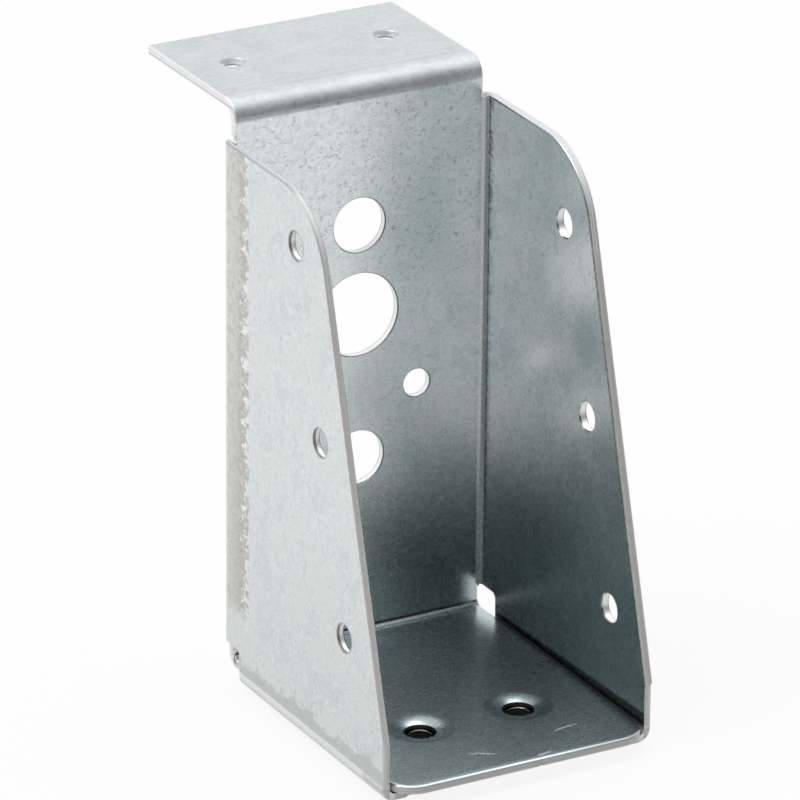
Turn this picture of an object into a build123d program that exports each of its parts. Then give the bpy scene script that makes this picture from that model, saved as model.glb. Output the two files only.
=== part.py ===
from build123d import *
import os
from math import cos, radians, sin, tan

# Joist hanger folded from one galvanised steel blank, in millimetres.
# X runs across the joist, Y from the joist towards the header, and Z up.
# The origin is on the top face of the seat, in the middle of the joist's bearing.
# The drawing frame below has its zero on the front face of the back plate, and
# the finished part is moved to the origin at the end.

# Sheet
sheet = 2.0                     # thickness of the galvanised steel
roll_over = 0.6                 # rounding that the shear leaves on the side it enters from
punch_mouth = 0.3               # slanted mouth of the punched holes on that side

# Joist space
joist_width = 71.5              # clear width between the side flanges
lip_underside = 146.4           # height of the lip's underside above the seat

# Back plate
plate_width = 69.5              # width above the side flanges, and of the lip
seat_side_gap = 0.4             # gap from each edge of the seat to its flange
lip_depth = 47.2                # from the plate's front face to the lip's rear edge

# Side flanges
flange_depth = 82.2             # from the plate's front face to the front edge
flange_top = 138.9              # height of the top edge
kink_height = 11.0              # the front edge is upright below this height
kink_step = 0.25                # ledge where the sloped cut stands in front of the upright one
front_slope = 15.7              # lean of the front edge from the vertical, in degrees
flange_corner = 23.0            # radius between the sloped front edge and the top edge

# Bends, inside radii
flange_bend = 1.6
lip_bend = 3.0
seat_bend = 1.5
tab_bend = 1.5

# Seat tongue and the tabs under it
seat_depth = 86.6               # from the plate's front face to the seat's front edge
seat_corner = 7.5
seat_roll = 0.9                 # wider rounding along the upper edge of the seat
tab_gap = 0.6                   # slack between the seat and the tabs, closed at the clinches
tab_length = 30.0               # from the flange's inner face to the tab's free edge
tab_corner = 3.0
tab_setback = 1.2               # the tab's front edge stands behind the flange's by this much
tab_shoulder = 2.4              # flat length before the cut that leads back to it
tab_chamfer = 2.0               # length along X of that slanted cut
nick_x = 4.2                    # small nick in the seat's front edge, as in the photo
nick_radius = 0.3

# Reliefs
relief_depth = 7.8              # lower rear corner, measured from the plate's front face
relief_height = 5.7
relief_corner = 1.7             # rear lower corner of the flange
relief_neck_corner = 0.9        # where the relief starts beside the seat
relief_neck_depth = 1.2         # of that corner, through the sheet
notch_radius = 0.7              # at the top of the flange bends
notch_offset = 0.06             # of the notch's middle from the edge of the plate, outwards

# Clinch points that press the seat into the tabs
clinch_spacing = 27.8
clinch_shift = 0.3              # of both from the middle, towards +X
clinch_setback = 57.5           # from the plate's front face
clinch_mouth = 8.2              # diameter of the pressed pit
clinch_pit = 4.0                # depth of the ring groove below the seat
clinch_ring = 6.0               # outer diameter of the raised ring in the pit
clinch_bore = 5.2               # diameter of the hollow in that ring
clinch_ring_drop = 1.85         # how far the ring's crest lies below the seat
clinch_bore_depth = 3.2
clinch_wall = 0.2               # how far the pit narrows towards its floor
dish_diameter = 17.6            # sheet drawn down around each pit
dish_slope = 26.0               # degrees, where the dish meets the pit
button_diameter = 10.4          # round button under the tab
button_height = 1.4
button_edge = 0.6               # slanted edge of the button

# Holes in the back plate, heights above the seat
bolt_hole = 14.4
upper_bolt_height = 110.3
lower_bolt_height = 47.7
anchor_hole = 22.0
anchor_height = 86.4
nail_hole = 7.4
plate_nail_height = 64.8
plate_nail_spacing = 33.3

# Holes in the lip
lip_hole = 6.0
lip_hole_spacing = 43.0
lip_hole_setback = 26.4         # from the plate's front face

# Slanted nail rows in the flanges
nail_rows = 3
nail_pitch = 48.4
nail_row_slope = 15.2           # lean of the rows from the vertical, in degrees
nail_edge = 13.3                # from the middle hole to the sloped front edge
left_row_height = 78.2          # height of the middle hole
right_row_height = 71.3

# Edges
corner_rounding = 1.0           # rear corners of the lip

# Places worked out from the sizes above
inner_x = joist_width / 2
outer_x = inner_x + sheet
bend_x = inner_x - flange_bend
seat_x = inner_x - seat_side_gap
notch_x = plate_width / 2 + notch_offset
lip_top = lip_underside + sheet
tab_top = -sheet - tab_gap
tab_bottom = tab_top - sheet
tab_edge_x = inner_x - tab_length
slope_run = tan(radians(front_slope))
origin_y = seat_depth / 2
dish_turn = radians(dish_slope)
dish_arc = (dish_diameter - clinch_mouth) / 2 / sin(dish_turn)
mouth_drop = dish_arc * (1 - cos(dish_turn))
far = 2 * (lip_top + seat_depth + joist_width)


def front_edge_y(height):
    """Where the sloped front edge of a flange lies at a height."""
    return -flange_depth - kink_step + (height - kink_height) * slope_run


def round_at(face, place, radius):
    """The face with its corner nearest to a place rounded."""
    corner = face.vertices().sort_by_distance(place)[0]
    return fillet(corner, radius)


def slab(low, high):
    """Wide box between two heights, to cut a piece out of a profile."""
    box = Box(far, far, high - low, align=(Align.CENTER, Align.CENTER, Align.MIN))
    return Pos(0, 0, low) * box


def rolled(solid, place, radius=roll_over):
    """The solid with its edge at a place, and the edges that run on from it, rolled over."""
    return fillet(solid.edges().sort_by_distance(place)[0], radius)


def quarter_bend(centre_u, centre_v, radius, start):
    """Section of a bend: a quarter of a ring as thick as the sheet."""
    centre = Vector(centre_u, centre_v)
    inner = CenterArc(centre, radius, start, 90)
    outer = CenterArc(centre, radius + sheet, start, 90)
    ends = Line(inner @ 0, outer @ 0) + Line(inner @ 1, outer @ 1)
    return make_face(inner + outer + ends)


def block(u_low, v_low, u_high, v_high):
    """Rectangular face between two corners."""
    return Pos((u_low + u_high) / 2, (v_low + v_high) / 2) * Rectangle(u_high - u_low, v_high - v_low)


def centre_strip():
    """Lip, back plate and seat: one profile, with its three widths."""
    outline = Plane.YZ * Polyline(
        (-seat_depth, 0),
        (0, 0),
        (0, lip_top),
        (lip_depth, lip_top),
        (lip_depth, lip_underside),
        (sheet, lip_underside),
        (sheet, -sheet),
        (-seat_depth, -sheet),
        close=True,
    )
    profile = make_face(outline)
    profile = round_at(profile, (0, 0, 0), seat_bend)
    profile = round_at(profile, (0, sheet, -sheet), seat_bend + sheet)
    profile = round_at(profile, (0, 0, lip_top), lip_bend + sheet)
    profile = round_at(profile, (0, sheet, lip_underside), lip_bend)

    lip = extrude(profile, plate_width / 2, both=True) & slab(flange_top, far)
    lip = fillet(lip.edges().filter_by(Axis.Z).group_by(Axis.Y)[-1], corner_rounding)
    lip = rolled(lip, (0, lip_depth, lip_top))
    seat = extrude(profile, seat_x, both=True) & slab(-far, relief_height)
    seat = fillet(seat.edges().filter_by(Axis.Z).group_by(Axis.Y)[0], seat_corner)
    seat = rolled(seat, (0, -seat_depth, 0), seat_roll)
    plate = extrude(profile, bend_x, both=True) & slab(relief_height, flange_top)
    return lip + plate + seat


def flange_bend_solid():
    """Upright bend between the back plate and the flange on the +X side."""
    ring = quarter_bend(bend_x, -flange_bend, flange_bend, 0)
    return extrude(Pos(0, 0, relief_height) * ring, flange_top - relief_height, dir=(0, 0, 1))


def relief_neck():
    """Rounded start of the relief beside the seat, on the +X side."""
    corner = relief_neck_corner
    edge = seat_x + corner
    low = relief_height - corner
    outline = Line((seat_x, low), (seat_x, relief_height))
    outline += Line((seat_x, relief_height), (edge, relief_height))
    outline += CenterArc((edge, low), corner, 90, 90)
    return extrude(Plane.XZ * make_face(outline), relief_neck_depth, dir=(0, 1, 0))


def flange_plate():
    """Flat side flange on the +X side, above its lower bend."""
    low = tab_top + tab_bend
    outline = Plane.YZ * Polyline(
        (-flange_bend, flange_top),
        (front_edge_y(flange_top), flange_top),
        (front_edge_y(kink_height), kink_height),
        (-flange_depth, kink_height),
        (-flange_depth, low),
        (-relief_depth, low),
        (-relief_depth, relief_height),
        (-flange_bend, relief_height),
        close=True,
    )
    profile = make_face(outline)
    profile = round_at(profile, (0, front_edge_y(flange_top), flange_top), flange_corner)
    profile = round_at(profile, (0, -relief_depth, relief_height), relief_corner)
    return extrude(Pos(inner_x, 0, 0) * profile, sheet, dir=(1, 0, 0))


def flange_upright():
    """Upper flange and bend in one, with the front edge rolled over on the inside."""
    solid = flange_bend_solid() + flange_plate()
    middle = (flange_top + kink_height) / 2
    solid = rolled(solid, (inner_x, front_edge_y(middle), middle))
    return rolled(solid, (outer_x, -flange_depth, kink_height / 2))


def flange_tab():
    """Lower bend of the +X flange and the tab that it carries under the seat."""
    ring = quarter_bend(inner_x - tab_bend, tab_top + tab_bend, tab_bend, 270)
    profile = ring + block(tab_edge_x, tab_bottom, inner_x - tab_bend, tab_top)
    length = flange_depth - relief_depth
    tab = extrude(Plane.XZ * profile, -length, dir=(0, 1, 0))
    reach = (tab_bend + sheet) * cos(radians(45))
    on_bend = (inner_x - tab_bend + reach, -flange_depth, tab_top + tab_bend - reach)
    tab = rolled(Pos(0, -relief_depth, 0) * tab, on_bend)
    start = inner_x - tab_bend - tab_shoulder
    front = Polyline(
        (start, -flange_depth),
        (start - tab_chamfer, -flange_depth + tab_setback),
        (0, -flange_depth + tab_setback),
        (0, -far),
        (start, -far),
        close=True,
    )
    cut = extrude(Pos(0, 0, -far / 2) * make_face(front), far, dir=(0, 0, 1))
    tab -= cut
    free_edge = tab.edges().filter_by(Axis.Z).group_by(Axis.X)[0]
    return fillet(free_edge, tab_corner)


def punch(diameter):
    """Cutter for a punched hole down the Z axis, with the slanted mouth at its zero."""
    radius = diameter / 2
    deep = 4 * sheet
    outline = Polyline(
        (radius, -deep),
        (radius, -punch_mouth),
        (radius + punch_mouth, 0),
        (radius + punch_mouth, deep),
        (0, deep),
        (0, -deep),
        close=True,
    )
    return revolve(make_face(Plane.XZ * outline), Axis.Z)


def nail_row(side, middle_height):
    """Cutters for the slanted row of nail holes in one flange."""
    middle_y = front_edge_y(middle_height) + nail_edge / cos(radians(front_slope))
    row = Part()
    for step in range(nail_rows):
        along = (step - (nail_rows - 1) / 2) * nail_pitch
        y = middle_y + along * sin(radians(nail_row_slope))
        z = middle_height + along * cos(radians(nail_row_slope))
        row += Pos(side * inner_x, y, z) * Rot(0, -90 * side, 0) * punch(nail_hole)
    return row


def plate_holes():
    """Cutters for the holes in the back plate and in the lip."""
    centres = [
        (0, upper_bolt_height, bolt_hole),
        (0, lower_bolt_height, bolt_hole),
        (0, anchor_height, anchor_hole),
        (-plate_nail_spacing / 2, plate_nail_height, nail_hole),
        (plate_nail_spacing / 2, plate_nail_height, nail_hole),
    ]
    cutters = Part()
    for x, z, diameter in centres:
        cutters += Pos(x, 0, z) * Rot(90, 0, 0) * punch(diameter)
    for side in (-1, 1):
        cutters += Pos(side * lip_hole_spacing / 2, lip_hole_setback, lip_top) * punch(lip_hole)
    return cutters


def dish_line(drop):
    """Section of the dish around a clinch, lowered by a distance, from the rim inwards."""
    return CenterArc((dish_diameter / 2, -dish_arc - drop), dish_arc, 90, dish_slope)


def clinch_button():
    """What one clinch adds under seat and tab, on the Z axis."""
    low = tab_bottom - button_height
    high = -sheet / 2
    radius = button_diameter / 2
    profile = Plane.XZ * block(0, low, radius, high)
    profile = chamfer(profile.vertices().sort_by_distance((radius, 0, low))[0], button_edge)
    rest = Polyline(
        dish_line(sheet) @ 1,
        (0, -sheet - mouth_drop),
        (0, high),
        (dish_diameter / 2, high),
        (dish_diameter / 2, -sheet),
    )
    bulge = make_face(Plane.XZ * (dish_line(sheet) + rest))
    return revolve(profile, Axis.Z) + revolve(bulge, Axis.Z)


def clinch_pit_cutter():
    """Pit, raised ring and drawn-down dish of one clinch, on the Z axis."""
    rim = dish_diameter / 2
    mouth = clinch_mouth / 2
    outer = clinch_ring / 2
    bore = clinch_bore / 2
    crest = (outer + bore) / 2
    flank = (outer - bore) / 2
    pit = Polyline(
        (mouth, -mouth_drop),
        (mouth - clinch_wall, -clinch_pit),
        (outer, -clinch_pit),
        (outer, -clinch_ring_drop - flank),
        (crest, -clinch_ring_drop),
        (bore, -clinch_ring_drop - flank),
        (bore, -clinch_bore_depth),
        (0, -clinch_bore_depth),
        (0, sheet),
        (rim, sheet),
        (rim, 0),
    )
    return revolve(make_face(Plane.XZ * (dish_line(0) + pit)), Axis.Z)


def hanger():
    """The folded hanger, in the drawing frame."""
    side = flange_upright() + flange_tab() + relief_neck()
    body = centre_strip() + side + mirror(side, Plane.YZ)
    clinches = [Pos(clinch_shift + k * clinch_spacing / 2, -clinch_setback, 0) for k in (-1, 1)]
    for place in clinches:
        body += place * clinch_button()
    for place in clinches:
        body -= place * clinch_pit_cutter()
    body -= plate_holes()
    body -= nail_row(-1, left_row_height)
    body -= nail_row(1, right_row_height)
    for k in (-1, 1):
        notch = Rot(90, 0, 0) * Rot(0, 0, 90 - 45 * k) * Cylinder(notch_radius, 4 * sheet)
        body -= Pos(k * notch_x, 0, flange_top) * notch
    body -= Pos(nick_x, -seat_depth, 0) * Rot(0, 0, -90) * Cylinder(nick_radius, 4 * sheet)
    return body


part = Pos(0, origin_y, 0) * hanger()

os.makedirs("parts", exist_ok=True)
export_step(part, "parts/hanger.step")
print("hanger", round(part.volume), "mm3, solids", len(part.solids()))
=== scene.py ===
# Joist hanger: galvanised finish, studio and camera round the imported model
from math import cos, radians, sin

import bpy
from mathutils import Matrix, Vector


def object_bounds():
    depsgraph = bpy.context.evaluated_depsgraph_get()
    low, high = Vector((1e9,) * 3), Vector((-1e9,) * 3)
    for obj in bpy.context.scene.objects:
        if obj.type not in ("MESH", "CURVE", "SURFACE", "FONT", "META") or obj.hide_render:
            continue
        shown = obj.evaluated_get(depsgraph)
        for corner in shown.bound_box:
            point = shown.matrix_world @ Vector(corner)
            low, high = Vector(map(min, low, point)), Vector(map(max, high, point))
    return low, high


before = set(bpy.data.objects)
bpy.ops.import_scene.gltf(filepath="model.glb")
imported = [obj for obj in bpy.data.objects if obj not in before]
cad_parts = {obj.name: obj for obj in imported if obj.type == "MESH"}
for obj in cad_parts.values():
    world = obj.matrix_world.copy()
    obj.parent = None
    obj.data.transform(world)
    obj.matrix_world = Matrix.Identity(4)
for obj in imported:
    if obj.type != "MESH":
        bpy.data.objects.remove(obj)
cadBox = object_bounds()
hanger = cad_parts["hanger"]
print("hanger loaded")


class Signal:
    # one output socket, so that shader maths reads as plain sums

    def __init__(self, nodes, socket):
        self.nodes = nodes
        self.socket = socket

    def maths(self, operation, *others):
        inputs = {i: value for i, value in enumerate((self,) + others)}
        return self.nodes.add("ShaderNodeMath", {"operation": operation}, inputs)

    def swapped(self, operation, other):
        return self.nodes.add("ShaderNodeMath", {"operation": operation}, {0: other, 1: self})

    def __add__(self, other):
        return self.maths("ADD", other)

    def __sub__(self, other):
        return self.maths("SUBTRACT", other)

    def __mul__(self, other):
        return self.maths("MULTIPLY", other)

    def __truediv__(self, other):
        return self.maths("DIVIDE", other)

    def __rsub__(self, other):
        return self.swapped("SUBTRACT", other)

    def __rtruediv__(self, other):
        return self.swapped("DIVIDE", other)

    __radd__ = __add__
    __rmul__ = __mul__

    def step(self, low, high):
        # 0 below low, 1 above high, smooth between them
        settings = {"interpolation_type": "SMOOTHSTEP"}
        inputs = {"Value": self, "From Min": low, "From Max": high}
        return self.nodes.add("ShaderNodeMapRange", settings, inputs)

    def below(self, low, high):
        return 1 - self.step(low, high)

    def band(self, low, high, soft=0.04):
        # 1 between low and high
        return self.step(low - soft, low + soft) * self.below(high - soft, high + soft)

    def size(self):
        return self.maths("ABSOLUTE")

    def larger(self, other):
        return self.maths("MAXIMUM", other)

    def part(self, i):
        # another output of the same node
        return Signal(self.nodes, self.socket.node.outputs[i])

    def times(self, scale):
        # a vector stretched along its three axes
        return self.nodes.add("ShaderNodeVectorMath", {"operation": "MULTIPLY"}, {0: self, 1: scale})

    def scaled(self, amount):
        # a colour made lighter or darker
        return self.nodes.add("ShaderNodeVectorMath", {"operation": "SCALE"}, {0: self, "Scale": amount})

    def painted(self, colour, amount):
        # a colour with another one laid over it
        inputs = {0: amount, 6: self, 7: colour}
        return self.nodes.add("ShaderNodeMix", {"data_type": "RGBA"}, inputs, 2)


class Nodes:
    # one node tree, filled by a single method

    def __init__(self, tree):
        self.tree = tree
        tree.nodes.clear()

    def add(self, kind, settings=None, inputs=None, output=0):
        node = self.tree.nodes.new(kind)
        for name, value in (settings or {}).items():
            setattr(node, name, value)
        for name, value in (inputs or {}).items():
            if isinstance(value, Signal):
                self.tree.links.new(value.socket, node.inputs[name])
            else:
                node.inputs[name].default_value = value
        return Signal(self, node.outputs[output]) if node.outputs else node


def newMaterial(name):
    material = bpy.data.materials.new(name)
    material.use_nodes = True
    return material, Nodes(material.node_tree)


sheetPlaces = {                # mm, where the folded sheet lies
    "thickness": 2.0,
    "flange": (35.75, 37.75),  # inner and outer face, from the middle
    "plate": (43.3, 45.3),     # y of its front and its back
    "plateEdge": 34.75,        # side edge of the plate and the lip, from the middle
    "lip": (146.4, 148.4),     # z of its underside and its top
    "seat": (-2.0, 0.0),
    "tab": (-4.6, -2.6),
    "flangeTop": 138.9,
    "curveTop": 129.0,         # z where the corner of the flange starts to turn
    "kink": 10.75,             # the front edge is upright below this height
    "slopeFoot": (-39.15, 11),     # y and z of a point on the sloped front edge
    "slopeRun": 0.2811,
    "nailRow": ((-6.445, 78.2), (-8.385, 71.3)),   # y and z of the middle hole, left and right
    "nailPitch": 48.4,
    "nailLean": 15.2,          # degrees
    "nailRadius": 3.7,
    "clinchMiddle": (0.3, -14.2),
    "clinchHalfSpacing": 13.9,
}


class Sheet:
    # the folded sheet as a surface to paint: where a point lies in mm, how it faces, and its finish

    def __init__(self, nodes):
        inner = sheetPlaces["flange"][0]
        front = sheetPlaces["plate"][0]
        self.nodes = nodes
        self.place = nodes.add("ShaderNodeTexCoord", None, None, "Object").times((1000, 1000, 1000))
        facing = nodes.add("ShaderNodeTexCoord", None, None, "Normal")
        self.x = nodes.add("ShaderNodeSeparateXYZ", None, {0: self.place})
        self.y, self.z = self.x.part(1), self.x.part(2)
        self.faceX = nodes.add("ShaderNodeSeparateXYZ", None, {0: facing})
        self.faceY, self.faceZ = self.faceX.part(1), self.faceX.part(2)
        self.wide = self.x.size()
        self.left = self.x.below(-1, 1)
        # how far through a flange a point lies, from its inner face
        self.through = (self.wide - inner) / sheetPlaces["thickness"]
        # the faces, one by one
        self.upward = self.faceZ.size().step(0.5, 0.8)
        self.inside = self.wide.below(inner + 0.01, inner + 0.05) * self.y.below(front + 0.01, front + 0.05)
        self.inside = self.inside * self.z.below(139, 139.5) * self.z.step(-1.9, -0.3)
        self.seatTop = self.upward * self.inside * self.z.below(0.3, 1.5)
        self.plateFront = self.y.band(front - 0.1, front + 0.1)
        self.outerLeft = (0 - self.x).step(34.0, 34.4) * (0 - self.faceX).step(-0.1, 0.2)
        self.flangeInside = self.wide.band(inner - 0.05, inner + 0.05) * self.faceX.size().step(0.9, 0.95)

    def noise(self, scale, detail=3.0, stretch=(1, 1, 1), roughness=0.55, shift=(0, 0, 0), warp=0.0):
        settings = {"operation": "ADD"}
        at = self.nodes.add("ShaderNodeVectorMath", settings, {0: self.place.times(stretch), 1: shift})
        inputs = {"Vector": at, "Scale": scale, "Detail": detail, "Roughness": roughness, "Distortion": warp}
        return self.nodes.add("ShaderNodeTexNoise", None, inputs)

    def blot(self, y, z, alongY, alongZ):
        # soft spot on a flange, 1 in its middle
        far = ((self.y - y) / alongY).maths("POWER", 2) + ((self.z - z) / alongZ).maths("POWER", 2)
        return far.below(0.1, 1)

    def paint(self, colour, amount):
        self.colour = self.colour.painted(colour, amount)


zinc = {
    "light": (0.74, 0.77, 0.785, 1),
    "dull": (0.60, 0.65, 0.665, 1),
    "warm": (0.52, 0.49, 0.455, 1),
    "teal": (0.44, 0.54, 0.55, 1),      # painted shade where the hanger shades itself; also the colour of darker clouds and a blob
    "pale": (0.87, 0.885, 0.895, 1),
    "plain": (0.735, 0.745, 0.75, 1),
    "sand": (0.67, 0.66, 0.645, 1),
    # dark grey: specks on the plate, and painted shade on hole walls, rims and mouths
    "speckAndShade": (0.22, 0.20, 0.185, 1),
    # near black, for painted shade in the creases, the seat's bend and the seams
    "paintedShade": (0.030, 0.030, 0.027, 1),
    "patchScale": 0.11,        # per mm
    "spotScale": 0.6,
    "fleckScale": 0.9,
    "biteScale": 0.34,
    "roughness": 0.27,
    "bump": 0.000016,          # m
}


def zincCoat(sheet):
    # patches, small spots and grey-brown flecks of the zinc, all over, with painted shade over the low
    # inside and the seat
    sheet.patches = sheet.noise(zinc["patchScale"], 2, (1, 1, 0.8), 0.6, (0, 0, 0), 0.6)
    sheet.spots = sheet.noise(zinc["spotScale"], 3, (1, 1, 0.9), 0.7)
    sheet.bites = sheet.noise(zinc["biteScale"], 3, (0.40, 0.9, 1.2), 0.62, (3, 7, 3), 0.6)
    flat = 1 - sheet.upward * 0.5 - sheet.seatTop * 0.3
    mottle = (sheet.patches * 0.8 + sheet.spots * 0.8 - 0.8) * flat
    sheet.colour = sheet.nodes.add("ShaderNodeMix", {"data_type": "RGBA"}, {
        0: mottle.step(-0.18, 0.14), 6: zinc["dull"], 7: zinc["light"]}, 2)
    sheet.flecks = sheet.noise(zinc["fleckScale"], 2, (1, 1, 0.8), 0.7, (40, 0, 0), 0.8)
    sheet.paint(zinc["warm"], sheet.flecks.step(0.55, 0.68) * flat * (0.7 + sheet.flangeInside * 0.3))
    sheet.paint(zinc["plain"], sheet.outerLeft * 0.25)
    walls = sheet.inside * (1 - sheet.seatTop)
    sheet.paint(zinc["sand"], sheet.patches.step(0.47, 0.62) * (sheet.outerLeft * 0.4 + walls * 0.3))
    # painted shade: teal over the inside walls, strongest low down, and over the seat
    low = sheet.z.below(8, 62) * sheet.z.step(0.02, 0.3)
    sheet.paint(zinc["teal"], sheet.inside * (low * 0.72).larger(0.12 + sheet.seatTop * 0.55))


plateMarks = {
    "scratch": (0.25, 0.235, 0.22, 1),
    "scratchAmount": 0.55,
    "speckAmount": 0.3,
    "cloudAmount": 0.3,
    "shadeCloudPlace": (19, 109),    # x and z of the cloud of painted shade
    "shadeCloudAmount": 0.4,
    "litLeftRise": (15, 95),      # z over which the painted light on the left side grows
    "litLeftAmount": 0.6,
}


def markPlate(sheet):
    # short curved scratches, a cloud of painted shade and painted light on the left side of the back plate
    # painted light: the left side of the plate made paler, more so higher up
    litLeftSide = sheet.x.below(-8, 16) * sheet.plateFront
    sheet.paint(zinc["pale"], litLeftSide * sheet.z.step(*plateMarks["litLeftRise"]) * plateMarks["litLeftAmount"])
    # painted shade: a darker teal cloud high on the right of the plate
    x, z = plateMarks["shadeCloudPlace"]
    shadeCloud = (sheet.x - x).band(-7, 7, 6) * (sheet.z - z).band(-17, 17, 9) * sheet.plateFront
    sheet.paint(zinc["teal"], shadeCloud * plateMarks["shadeCloudAmount"])
    lines = (sheet.bites - 0.5).size().below(0.003, 0.018) * sheet.flecks.step(0.42, 0.56)
    upper = sheet.plateFront * sheet.z.step(70, 118)
    sheet.paint(plateMarks["scratch"], lines * upper * plateMarks["scratchAmount"])
    sheet.paint(zinc["speckAndShade"], sheet.flecks.step(0.60, 0.68) * upper * plateMarks["speckAmount"])
    clouds = sheet.spots.step(0.44, 0.60) * upper
    sheet.paint(zinc["teal"], clouds * plateMarks["cloudAmount"])


rubbed = {
    "grey": (0.655, 0.655, 0.635, 1),
    "dark": (0.46, 0.455, 0.43, 1),
    "olive": (0.52, 0.535, 0.51, 1),
    "rearBand": 35.2,          # y where the smooth part of the band starts
    "rearReach": 30.6,         # y that its bites reach
    "lowBand": 3.6,            # height of the band over the lower bend
    "lipLines": ((50.5, 0.5), (53.6, 0.35)),       # y and strength of two thin lines behind the lip's bend
}


def rubBands(sheet):
    # the press has rubbed the zinc off along the rear and lower bends of the left flange
    y, z = sheet.y, sheet.z
    closer = (y - rubbed["rearReach"]) / (rubbed["rearBand"] - rubbed["rearReach"])
    torn = (sheet.bites * 4.5 - 2.15 + closer * 0.7).step(0.10, 0.30) * y.step(30.2, 30.8)
    band = y.step(rubbed["rearBand"] - 0.5, rubbed["rearBand"] + 0.5)
    above = sheet.outerLeft * z.step(14, 20)
    worn = above * band.larger(torn)
    flakes = sheet.spots.step(0.50, 0.58)
    sheet.paint(zinc["pale"], above * y.step(29.5, 33.5) * (1 - torn) * 0.7)
    sheet.paint(rubbed["grey"], worn)
    sheet.paint(rubbed["dark"], worn * y.below(37, 43) * (0.25 + z.below(40, 110) * 0.25))
    sheet.paint(rubbed["dark"], above * torn * (1 - flakes) * y.below(35, 37) * 0.8)
    sheet.paint(rubbed["dark"], worn * sheet.spots.below(0.42, 0.52) * 0.5)
    sheet.paint(zinc["pale"], worn * y.step(41, 44) * 0.7)
    ragged = z + sheet.bites * 5.0 + sheet.patches * 6.0 + sheet.spots * 5.0
    edge = ragged.below(rubbed["lowBand"] + 7.2, rubbed["lowBand"] + 9.0)
    low = sheet.outerLeft * z.step(-4.8, -4.6)
    sheet.paint(rubbed["olive"], low * edge * (0.85 - z.band(-2.9, -1.2, 0.3) * 0.5))
    for place, amount in rubbed["lipLines"]:
        line = y.band(place - 0.25, place + 0.25, 0.2) * z.step(148.3, 148.35)
        sheet.paint(rubbed["dark"], line * sheet.spots.step(0.35, 0.55) * amount)


insideMarks = {
    "stain": (0.20, 0.20, 0.17, 1),
    # painted light on the strip of the inner bends, and how much
    "strip": (0.60, 0.61, 0.60, 1),
    "bendStripLightAmount": 0.7,
    "bendHighlight": (0.85, 0.83, 0.80, 1),
    "blob": (-7, 91),          # y and z on the right flange
    "wisps": (19, 77),
}


def markInside(sheet):
    # the inner bends with their painted light, painted shade along their creases and the seat's bend, stains
    # and smudges
    flange = sheet.flangeInside
    stain = sheet.bites.step(0.50, 0.56)
    stain = stain * flange * sheet.y.step(38.6, 40.6) * (0.35 + sheet.z.step(90, 120) * 0.4)
    sheet.paint(insideMarks["stain"], stain)
    sheet.paint(zinc["teal"], flange * sheet.blot(*insideMarks["blob"], 7, 9) * 0.6)
    sheet.paint(zinc["light"], flange * sheet.blot(*insideMarks["wisps"], 9, 8) * sheet.patches * 0.5)
    # painted light: the inner bends by the flanges made a lighter grey
    strip = sheet.wide.step(34.2, 34.5) * sheet.y.step(41.9, 42.1) * sheet.inside
    sheet.paint(insideMarks["strip"], strip * insideMarks["bendStripLightAmount"])
    # painted shade along the creases where the inner bends meet the flanges
    crease = sheet.wide.step(35.5, 35.65) * sheet.y.band(41.2, 41.7, 0.2) * sheet.inside
    sheet.paint(zinc["paintedShade"], crease * 0.5)
    sheet.strip = strip
    # the bend of the seat gets painted shade, with a thin painted highlight line left along it
    bend = sheet.y.step(41.9, 42.1) * sheet.z.below(1.3, 1.5) * sheet.inside
    lit = (sheet.faceZ - 0.62).band(-0.06, 0.06, 0.04)
    sheet.paint(zinc["paintedShade"], bend * (1 - lit) * 0.65)
    sheet.paint(insideMarks["bendHighlight"], bend * lit * 0.8)
    sheet.lit = bend * lit


seatMarks = {
    "scratches": (             # x and y of both ends
        ((-10.1, -32.9), (-4.7, -35.8)),
        ((14.8, -31.3), (21.4, -30.3)),
        ((4.0, -41.6), (8.2, -40.9)),
    ),
    "bow": 0.03,               # how far they bend
    "width": 0.4,
    "seamShade": 2.3,               # height of the painted shade above the seam on the flange, at the middle of the seat
}


def markSeat(sheet):
    # scratches, and painted shade along the seams at both sides of the seat
    for (x0, y0), (x1, y1) in seatMarks["scratches"]:
        length = ((x1 - x0) ** 2 + (y1 - y0) ** 2) ** 0.5
        alongX, alongY = (x1 - x0) / length, (y1 - y0) / length
        along = (sheet.x - x0) * alongX + (sheet.y - y0) * alongY
        across = (sheet.y - y0) * alongX - (sheet.x - x0) * alongY
        bowed = across - along * (length - along) * seatMarks["bow"]
        line = bowed.size().below(seatMarks["width"] * 0.4, seatMarks["width"])
        line = line * along.band(0, length, 0.8) * sheet.seatTop * sheet.spots.step(0.3, 0.5)
        sheet.paint(zinc["pale"], line * 0.8)
        # the scratches are made less metallic too, like the painted highlight line
        sheet.lit = sheet.lit.larger(line)
    seamShadeTop = seatMarks["seamShade"] - sheet.y * 0.028
    onFlange = sheet.wide.step(35.7, 35.74) * (sheet.z - seamShadeTop).below(-0.5, 0.2)
    onFlange = onFlange * sheet.y.below(34.5, 35.5)
    onSeat = sheet.wide.step(34.3, 34.9) * sheet.z.band(-2.1, 0.2) * sheet.y.below(36, 37)
    onSeat = onSeat * sheet.wide.below(35.4, 35.5) * sheet.y.step(-38, -34)
    # painted shade: the flange just above each seam and the seat's rolled side edges darkened
    sheet.paint(zinc["paintedShade"], (onFlange * sheet.inside).larger(onSeat) * 0.88)


cutEdge = {
    "grey": (0.59, 0.58, 0.565, 1),
    "cool": (0.50, 0.53, 0.55, 1),
    "bright": (0.68, 0.69, 0.71, 1),
    "pale": (0.80, 0.79, 0.77, 1),
    "wall": (0.78, 0.79, 0.80, 1),
    "line": (0.24, 0.235, 0.225, 1),
    "shineSpan": (114, 132),   # z over which the corner has painted highlight lines
    "roughness": 0.5,
    "metallic": 0.25,
}


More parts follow.
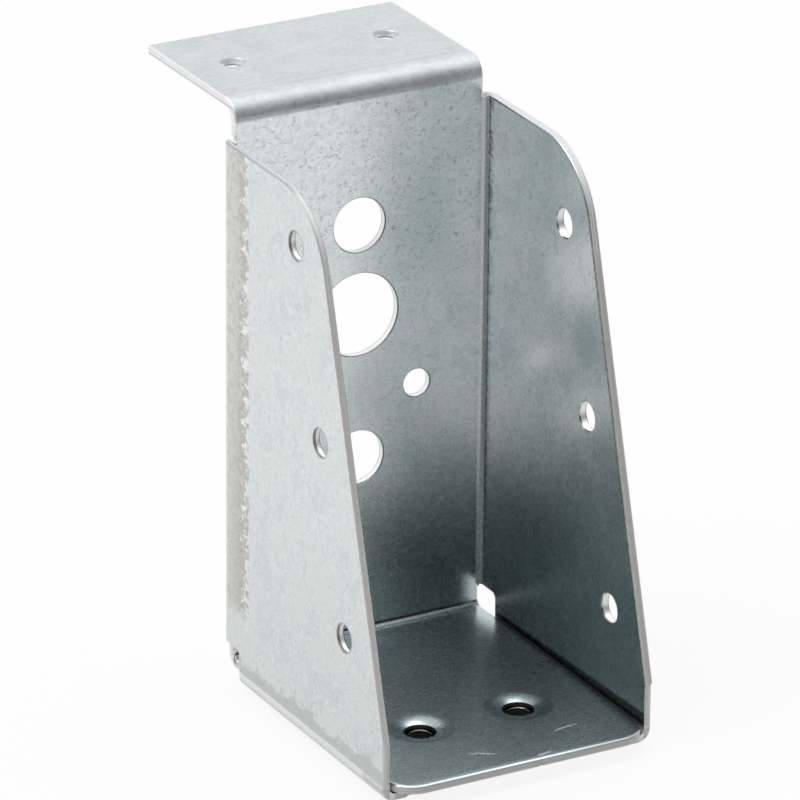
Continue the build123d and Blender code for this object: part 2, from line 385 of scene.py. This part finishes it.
def cutEdges(sheet):
    # bare steel: a bright sheared part and a grey torn part through the thickness
    def cutIn(value, span, face):
        return value.band(span[0], span[1], 0.03) * face.size().below(0.4, 0.6)

    y, z, wide = sheet.y, sheet.z, sheet.wide
    inner = sheetPlaces["flange"][0]
    plateEdge = sheetPlaces["plateEdge"]
    flangeTop = sheetPlaces["flangeTop"]
    curveTop = sheetPlaces["curveTop"]
    kink = sheetPlaces["kink"]
    flange = cutIn(wide, sheetPlaces["flange"], sheet.faceX)
    lowBend = z.below(-1.2, -1.0) * sheet.faceY.size().below(0.6, 0.8)
    rearBend = y.step(41.6, 41.8) * sheet.faceZ.size().below(0.6, 0.8)
    flange = flange * (1 - lowBend.larger(rearBend))
    plate = cutIn(y, sheetPlaces["plate"], sheet.faceY) * wide.below(plateEdge + 0.55, plateEdge + 0.75)
    lip = cutIn(z, sheetPlaces["lip"], sheet.faceZ)
    seat = cutIn(z, sheetPlaces["seat"], sheet.faceZ) * y.below(40, 41)
    tab = cutIn(z, sheetPlaces["tab"], sheet.faceZ) * wide.below(34.2, 34.4)
    front = (0 - sheet.faceY).step(0.4, 0.6) * y.below(-37.4, -37.2)
    footY, footZ = sheetPlaces["slopeFoot"]
    behindLine = y - footY - (z - footZ) * sheetPlaces["slopeRun"]
    outline = behindLine.below(1.2, 1.8).larger(z.step(curveTop - 0.2, curveTop + 0.2))
    bendTop = z.band(flangeTop - 0.15, flangeTop + 0.15, 0.05) * sheet.faceZ.step(0.4, 0.6)
    cut = flange.larger(plate).larger(lip).larger(seat).larger(tab).larger(bendTop)
    onUpright = wide.step(inner - 0.05, inner + 0.01)
    cut = cut.larger(front * onUpright)
    sheet.paint(cutEdge["wall"], cut)

    through = sheet.through
    steep = sheet.faceZ.below(0.30, 0.55)
    slope = flange * outline * z.step(kink - 0.05, kink + 0.05) * steep
    crown = flange * outline * (1 - steep)
    upright = front.larger(flange * outline) * onUpright * z.below(kink - 0.05, kink + 0.05)
    sheet.paint(cutEdge["bright"], crown.larger(bendTop) * 0.9)
    sheet.paint(cutEdge["grey"], slope * (1 - through.band(0.86, 1.2) * 0.5))
    sheet.paint(cutEdge["pale"], slope * sheet.left * 0.4)
    innerLine = slope * through.band(0.12, 0.4, 0.06) * sheet.flecks.step(0.3, 0.6)
    sheet.paint(cutEdge["pale"], innerLine * 0.5)
    sheet.paint(cutEdge["grey"], crown * through.step(0.62, 0.7) * sheet.left)
    sheet.paint(cutEdge["grey"], crown * through.step(0.86, 0.92) * (1 - sheet.left) * 0.6)
    level = crown * sheet.left * z.step(flangeTop - 1.4, flangeTop - 0.4)
    sheet.paint(cutEdge["cool"], level * through.step(0.3, 0.5))
    sheet.paint(cutEdge["line"], level * through.step(0.72, 0.8) * 0.45)
    # painted highlight: two bright lines through the cut edge where the corner curves
    shine = through.band(0.08, 0.26, 0.04).larger(through.band(0.5, 0.7, 0.04))
    shine = shine * z.band(*cutEdge["shineSpan"], 5)
    sheet.paint(zinc["pale"], flange * outline * shine * (0.8 - sheet.left * 0.2))
    rolled = wide.band(inner + 0.02, inner + 0.23, 0.02) * outline * z.step(kink, kink + 0.1)
    sheet.paint(cutEdge["line"], rolled * (0.55 - sheet.left * 0.3))
    sheet.paint(cutEdge["grey"], upright * through.below(0.45, 0.6))
    bright = upright * through.step(0.42, 0.5) * (1 - through.step(0.85, 1.0) * 0.4)
    sheet.paint(cutEdge["bright"], bright)

    thickness = sheetPlaces["thickness"]
    depth = (0 - z) / thickness         # 0 on the seat's top, 1 on its underside
    seatEdge = seat * y.below(-30, -28)
    sheet.paint(cutEdge["bright"], seatEdge * depth.below(0.55, 0.6))
    sheet.paint(cutEdge["grey"], seatEdge * depth.step(0.58, 0.66))
    sheet.paint(cutEdge["line"], seatEdge * depth.band(0.58, 0.64, 0.03) * 0.5)
    sheet.paint(cutEdge["grey"], tab.larger(front * z.below(-2.6, -2.4)) * 0.8)
    lipDepth = (sheetPlaces["lip"][1] - z) / thickness
    sheet.paint(cutEdge["grey"], lip * lipDepth.step(0.68, 0.78))
    sheet.cut = cut


holeMarks = {
    "wall": (0.95, 0.95, 0.955, 1),
    "leftShade": 0.9,          # outer half of the walls in the left flange
    "rightShade": 0.7,         # outer rim of the walls in the right flange
    "rimShade": 0.6,
    "mouthShade": 0.6,
}


def holeRims(sheet):
    # walls and rims of the punched holes
    y, z, wide = sheet.y, sheet.z, sheet.wide
    (leftY, leftZ), (rightY, rightZ) = sheetPlaces["nailRow"]
    lean = radians(sheetPlaces["nailLean"])
    half = sheetPlaces["nailPitch"] / 2
    radius = sheetPlaces["nailRadius"]
    acrossY = y - rightY - sheet.left * (leftY - rightY)
    upZ = z - rightZ - sheet.left * (leftZ - rightZ)
    along = (acrossY * sin(lean) + upZ * cos(lean)).maths("WRAP", half, -half)
    across = acrossY * cos(lean) - upZ * sin(lean)
    reach = (along * along + across * across).maths("SQRT")
    onFlange = wide.step(35.6, 35.7) * z.step(10, 12) * z.below(134, 136)
    wall = sheet.cut * onFlange * reach.below(radius + 0.05, radius + 0.15)
    sheet.paint(holeMarks["wall"], wall)
    leftShade = sheet.through.step(0.58, 0.72) * sheet.left * holeMarks["leftShade"]
    rightShade = sheet.through.step(0.86, 0.92) * (1 - sheet.left) * holeMarks["rightShade"]
    sheet.paint(zinc["speckAndShade"], wall * leftShade)
    sheet.paint(zinc["speckAndShade"], wall * rightShade)
    rim = reach.band(radius + 0.02, radius + 0.3, 0.12) * onFlange * (1 - wall)
    sheet.paint(zinc["speckAndShade"], rim * holeMarks["rimShade"])
    # holes in the plate and the lip, with their slanted mouths
    front, back = sheetPlaces["plate"]
    under, top = sheetPlaces["lip"]
    inPlate = wide.below(32, 33) * y.band(front, back) * z.step(25, 30) * z.below(120, 125)
    inLip = wide.below(32, 33) * y.below(75, 76) * z.band(under, top + 0.02) * y.step(60, 61)
    sheet.paint(holeMarks["wall"], sheet.cut * inPlate.larger(inLip))
    sheet.paint(zinc["speckAndShade"], sheet.cut * inPlate * y.step(back - 0.4, back - 0.2) * 0.5)
    sheet.paint(zinc["speckAndShade"], sheet.cut * inLip * z.below(under + 0.2, under + 0.5) * 0.7)
    mouths = inPlate * sheet.faceY.size().band(0.5, 0.9)
    lipMouths = inLip * sheet.faceZ.size().band(0.5, 0.9)
    sheet.paint(zinc["speckAndShade"], mouths * holeMarks["mouthShade"])
    # painted shade: the lip holes' chamfered mouths painted warmer and darker
    sheet.paint(zinc["warm"], lipMouths * 0.5)
    sheet.mouths = mouths.larger(lipMouths)
    sheet.walls = wall.larger(sheet.cut * inPlate.larger(inLip)) * (1 - sheet.left * onFlange * 0.6)


clinch = {
    "dark": (0.13, 0.135, 0.125, 1),
    "ring": (0.34, 0.33, 0.29, 1),
    "pitRadius": 4.2,          # mm
    "ringSpan": (2.6, 3.05),
    "dishSpan": (4.3, 8.7),
}


def clinchPits(sheet):
    # painted shade in the pits, their brownish rings, and the dishes round them
    middleX, middleY = sheetPlaces["clinchMiddle"]
    across = (sheet.x - middleX).size() - sheetPlaces["clinchHalfSpacing"]
    along = sheet.y - middleY
    reach = (across * across + along * along).maths("SQRT")
    radius = clinch["pitRadius"]
    pit = reach.below(radius - 0.05, radius + 0.05) * sheet.z.below(-1.2, -1.0) * sheet.z.step(-4.3, -4.1)
    # painted shade: the pits made dark
    sheet.paint(clinch["dark"], pit * 0.95)
    ring = reach.band(*clinch["ringSpan"], 0.08) * sheet.z.band(-2.3, -1.7)
    sheet.paint(clinch["ring"], ring * (across.size().step(0.3, 1.6) * 0.6 + 0.35))
    sheet.pit = pit
    # the dishes, later made darker as painted shade over their highlights
    sheet.dish = reach.band(*clinch["dishSpan"], 0.2) * sheet.seatTop


paintedLightAndShade = {                     # painted light and shade: how much lighter or darker the zinc is painted, place by place
    "outerLeft": (0.06, 0.08),     # at its foot, and what is added higher up
    "lip": -0.08,
    "lipBend": -0.10,
    "seat": 0.52,
    "seatRight": -0.56,        # added towards the right side
    "seatBack": 0.14,          # added towards the plate
    "seatFront": -0.15,
    "plate": 0.06,
    "plateLow": 0.08,
    "plateLowLeft": 0.85,
    "plateHigh": 0.04,
    "flangeMiddle": -0.08,
    "flangeDim": (-0.14, -0.08),   # right flange, in a band and below it
    "foot": -0.08,
    "dish": -0.3,
}


def zincFinish():
    # the whole finish in one material
    material, nodes = newMaterial("galvanisedSheet")
    sheet = Sheet(nodes)
    zincCoat(sheet)
    markPlate(sheet)
    rubBands(sheet)
    markInside(sheet)
    cutEdges(sheet)
    markSeat(sheet)
    holeRims(sheet)
    clinchPits(sheet)

    x, y, z = sheet.x, sheet.y, sheet.z
    edge = sheetPlaces["plateEdge"]
    onLip = z.step(147, 148) * y.step(48, 50)
    bend = y.band(42.5, 48.8, 0.6) * z.step(142.8, 143.8) * sheet.wide.below(edge - 0.05, edge - 0.01)
    low = sheet.plateFront * z.below(30, 70)
    lowLeft = sheet.plateFront * x.below(-5, 22) * z.below(20, 70)
    upper = sheet.plateFront * z.step(25, 50)
    middle = sheet.flangeInside * z.below(88, 112) * z.step(10, 40)
    dimBand, dimFoot = paintedLightAndShade["flangeDim"]
    dim = sheet.flangeInside * (1 - sheet.left) * (z.band(22, 42, 10) * dimBand + z.below(30, 60) * dimFoot)
    foot = sheet.inside * (1 - sheet.seatTop) * z.below(10, 40)
    front = sheet.inside * y.below(-42, -41) * z.below(0.5, 1)
    leftFoot, leftRise = paintedLightAndShade["outerLeft"]
    seat = paintedLightAndShade["seat"] + x.step(0, 30) * paintedLightAndShade["seatRight"] + y.step(5, 35) * paintedLightAndShade["seatBack"]
    # painted light and shade: the colour scaled lighter or darker place by place
    lightAndShadeGain = 1 + sheet.outerLeft * (z.step(0, 90) * leftRise + leftFoot)
    lightAndShadeGain = lightAndShadeGain + onLip * paintedLightAndShade["lip"] + bend * paintedLightAndShade["lipBend"]
    lightAndShadeGain = lightAndShadeGain + sheet.seatTop * seat + front * paintedLightAndShade["seatFront"] + sheet.dish * paintedLightAndShade["dish"]
    lightAndShadeGain = lightAndShadeGain + sheet.plateFront * paintedLightAndShade["plate"] + low * paintedLightAndShade["plateLow"]
    lightAndShadeGain = lightAndShadeGain + lowLeft * paintedLightAndShade["plateLowLeft"] + upper * paintedLightAndShade["plateHigh"]
    lightAndShadeGain = lightAndShadeGain + middle * paintedLightAndShade["flangeMiddle"] + dim + foot * paintedLightAndShade["foot"]

    # parts that are duller, and so show more of their own colour
    frontLeft = sheet.seatTop * x.below(-30, 10) * y.below(-30, 0)
    hidden = (sheet.plateFront * z.below(12, 70) + sheet.seatTop * y.step(30, 36)) * x.below(-4, 6)
    roughness = sheet.spots * 0.10 + (zinc["roughness"] - 0.05)
    roughness = roughness + bend * 0.30 + sheet.cut * (cutEdge["roughness"] - zinc["roughness"])
    roughness = roughness + sheet.mouths * 0.3 + front * 0.15
    metallic = 1 - sheet.cut * (1 - sheet.pit) * (1 - cutEdge["metallic"]) * (1 - sheet.walls * 0.85)
    metallic = metallic - sheet.seatTop * 0.07 - frontLeft * 0.15 - lowLeft * 0.08
    metallic = metallic - sheet.strip * 0.55 - sheet.lit * 0.5 - hidden * 0.5 - bend * 0.2
    height = sheet.spots * (z.step(0.3, 1.5) + 0.12)
    bumped = nodes.add("ShaderNodeBump", None, {"Strength": 1.0, "Distance": zinc["bump"], "Height": height})
    shader = nodes.add("ShaderNodeBsdfPrincipled", None, {
        "Base Color": sheet.colour.scaled(lightAndShadeGain),
        "Metallic": metallic,
        "Roughness": roughness,
        "Normal": bumped,
    })
    nodes.add("ShaderNodeOutputMaterial", None, {"Surface": shader})
    return material


hanger.material_slots[0].material = zincFinish()
print("finish done")


studio = {
    "floorSize": 6.0,           # m
    "floorColour": (0.85, 0.85, 0.85, 1),
    "floorMirrored": 0.88,      # its brightness in reflections
    "floorPlain": 0.75,         # share of plain white in reflections, so that the shadow stays light
    "floorSeen": 0.88,          # the same for the camera
    "wallColour": (0.012, 0.012, 0.012, 1),
    "wallRadius": 2.6,
    "wallSpan": (-80, 75),      # degrees round the hanger, where 0 looks along +Y
    "wallRise": (0.10, 2.4),    # m above the floor
    "topSize": (1.6, 1.6),
    "topPower": 10,             # W
    "topPlace": (0.95, 0.15, 2.0),
    "keySize": (1.2, 1.2),
    "keyPower": 16,
    "keyPlace": (-1.0, 0.3, 1.8),
}


def staged(name, verts, faces, material):
    # a mesh that belongs to the studio alone
    mesh = bpy.data.meshes.new(name)
    mesh.from_pydata(verts, [], faces)
    mesh.materials.append(material)
    obj = bpy.data.objects.new(name, mesh)
    bpy.context.scene.collection.objects.link(obj)
    return obj


def whiteFloor():
    # plain white for the most part where the camera or the metal sees it, with a light shadow
    material, nodes = newMaterial("floor")
    mirrored = nodes.add("ShaderNodeLightPath", None, None, "Is Glossy Ray")
    seen = nodes.add("ShaderNodeLightPath", None, None, "Is Camera Ray")
    grey = 1 - mirrored * (1 - studio["floorMirrored"])
    plain = nodes.add("ShaderNodeCombineColor", None, {"Red": grey, "Green": grey, "Blue": grey})
    paint = nodes.add("ShaderNodeBsdfDiffuse", None, {"Color": studio["floorColour"]})
    white = nodes.add("ShaderNodeEmission", None, {"Color": plain, "Strength": 1.0})
    share = seen * studio["floorSeen"] + mirrored * studio["floorPlain"]
    mixed = nodes.add("ShaderNodeMixShader", None, {0: share, 1: paint, 2: white})
    nodes.add("ShaderNodeOutputMaterial", None, {"Surface": mixed})
    half = studio["floorSize"] / 2
    low = cadBox[0].z
    verts = [(-half, -half, low), (half, -half, low), (half, half, low), (-half, half, low)]
    staged("floor", verts, [(0, 1, 2, 3)], material)


def darkWall():
    # stands round the camera's side, so that the inside of the hanger reflects darkness
    material, nodes = newMaterial("darkWall")
    paint = nodes.add("ShaderNodeBsdfDiffuse", None, {"Color": studio["wallColour"]})
    nodes.add("ShaderNodeOutputMaterial", None, {"Surface": paint})
    verts = []
    first, last = studio["wallSpan"]
    steps = 24
    for i in range(steps + 1):
        turn = radians(first + (last - first) * i / steps)
        for height in studio["wallRise"]:
            verts.append((studio["wallRadius"] * sin(turn), -studio["wallRadius"] * cos(turn), height))
    faces = [(2 * i, 2 * i + 2, 2 * i + 3, 2 * i + 1) for i in range(steps)]
    wall = staged("darkWall", verts, faces, material)
    wall.visible_camera = False


def softbox(name, lookAt):
    lamp = bpy.data.lights.new(name, "AREA")
    lamp.shape = "RECTANGLE"
    lamp.size, lamp.size_y = studio[name + "Size"]
    lamp.energy = studio[name + "Power"]
    place = Vector(studio[name + "Place"])
    obj = bpy.data.objects.new(name, lamp)
    obj.location = place
    obj.rotation_mode = "QUATERNION"
    obj.rotation_quaternion = (Vector(lookAt) - place).to_track_quat("-Z", "Y")
    bpy.context.scene.collection.objects.link(obj)


whiteFloor()
darkWall()
softbox("top", (0, 0, 0.07))
softbox("key", (0, 0, 0.07))


def whiteWorld():
    world = bpy.data.worlds.new("whiteRoom")
    bpy.context.scene.world = world
    world.use_nodes = True
    nodes = Nodes(world.node_tree)
    camera = nodes.add("ShaderNodeLightPath", None, None, "Is Camera Ray")
    glossy = nodes.add("ShaderNodeLightPath", None, None, "Is Glossy Ray")
    through = nodes.add("ShaderNodeLightPath", None, None, "Is Transmission Ray")
    seen = camera + glossy + through
    strength = seen.step(0, 1) * 0.2 + 0.8
    sky = nodes.add("ShaderNodeBackground", None, {"Color": (1, 1, 1, 1), "Strength": strength})
    nodes.add("ShaderNodeOutputWorld", None, {"Surface": sky})


whiteWorld()
print("studio done")


photoCamera = {
    "azimuth": -29.0823,         # degrees round the hanger, where 0 looks along +Y
    "elevation": 22.9726,
    "roll": 0.517,
    "distance": 1.82667,        # m
    "target": (0.003446, 0.028162, 0.068374),
    "lens": 331.16,             # mm, on a sensor 36 mm wide
}


def placeCamera():
    turn = radians(photoCamera["azimuth"])
    rise = radians(photoCamera["elevation"])
    back = Vector((sin(turn) * cos(rise), -cos(turn) * cos(rise), sin(rise)))
    lens = bpy.data.cameras.new("camera")
    lens.lens = photoCamera["lens"]
    lens.sensor_width = 36
    lens.clip_end = 20
    camera = bpy.data.objects.new("camera", lens)
    bpy.context.scene.collection.objects.link(camera)
    camera.rotation_mode = "QUATERNION"
    roll = Matrix.Rotation(radians(photoCamera["roll"]), 4, "Z").to_quaternion()
    camera.rotation_quaternion = (-back).to_track_quat("-Z", "Y") @ roll
    camera.location = Vector(photoCamera["target"]) + back * photoCamera["distance"]
    bpy.context.scene.camera = camera


placeCamera()
bpy.context.scene.view_settings.view_transform = "Standard"
print("camera done")
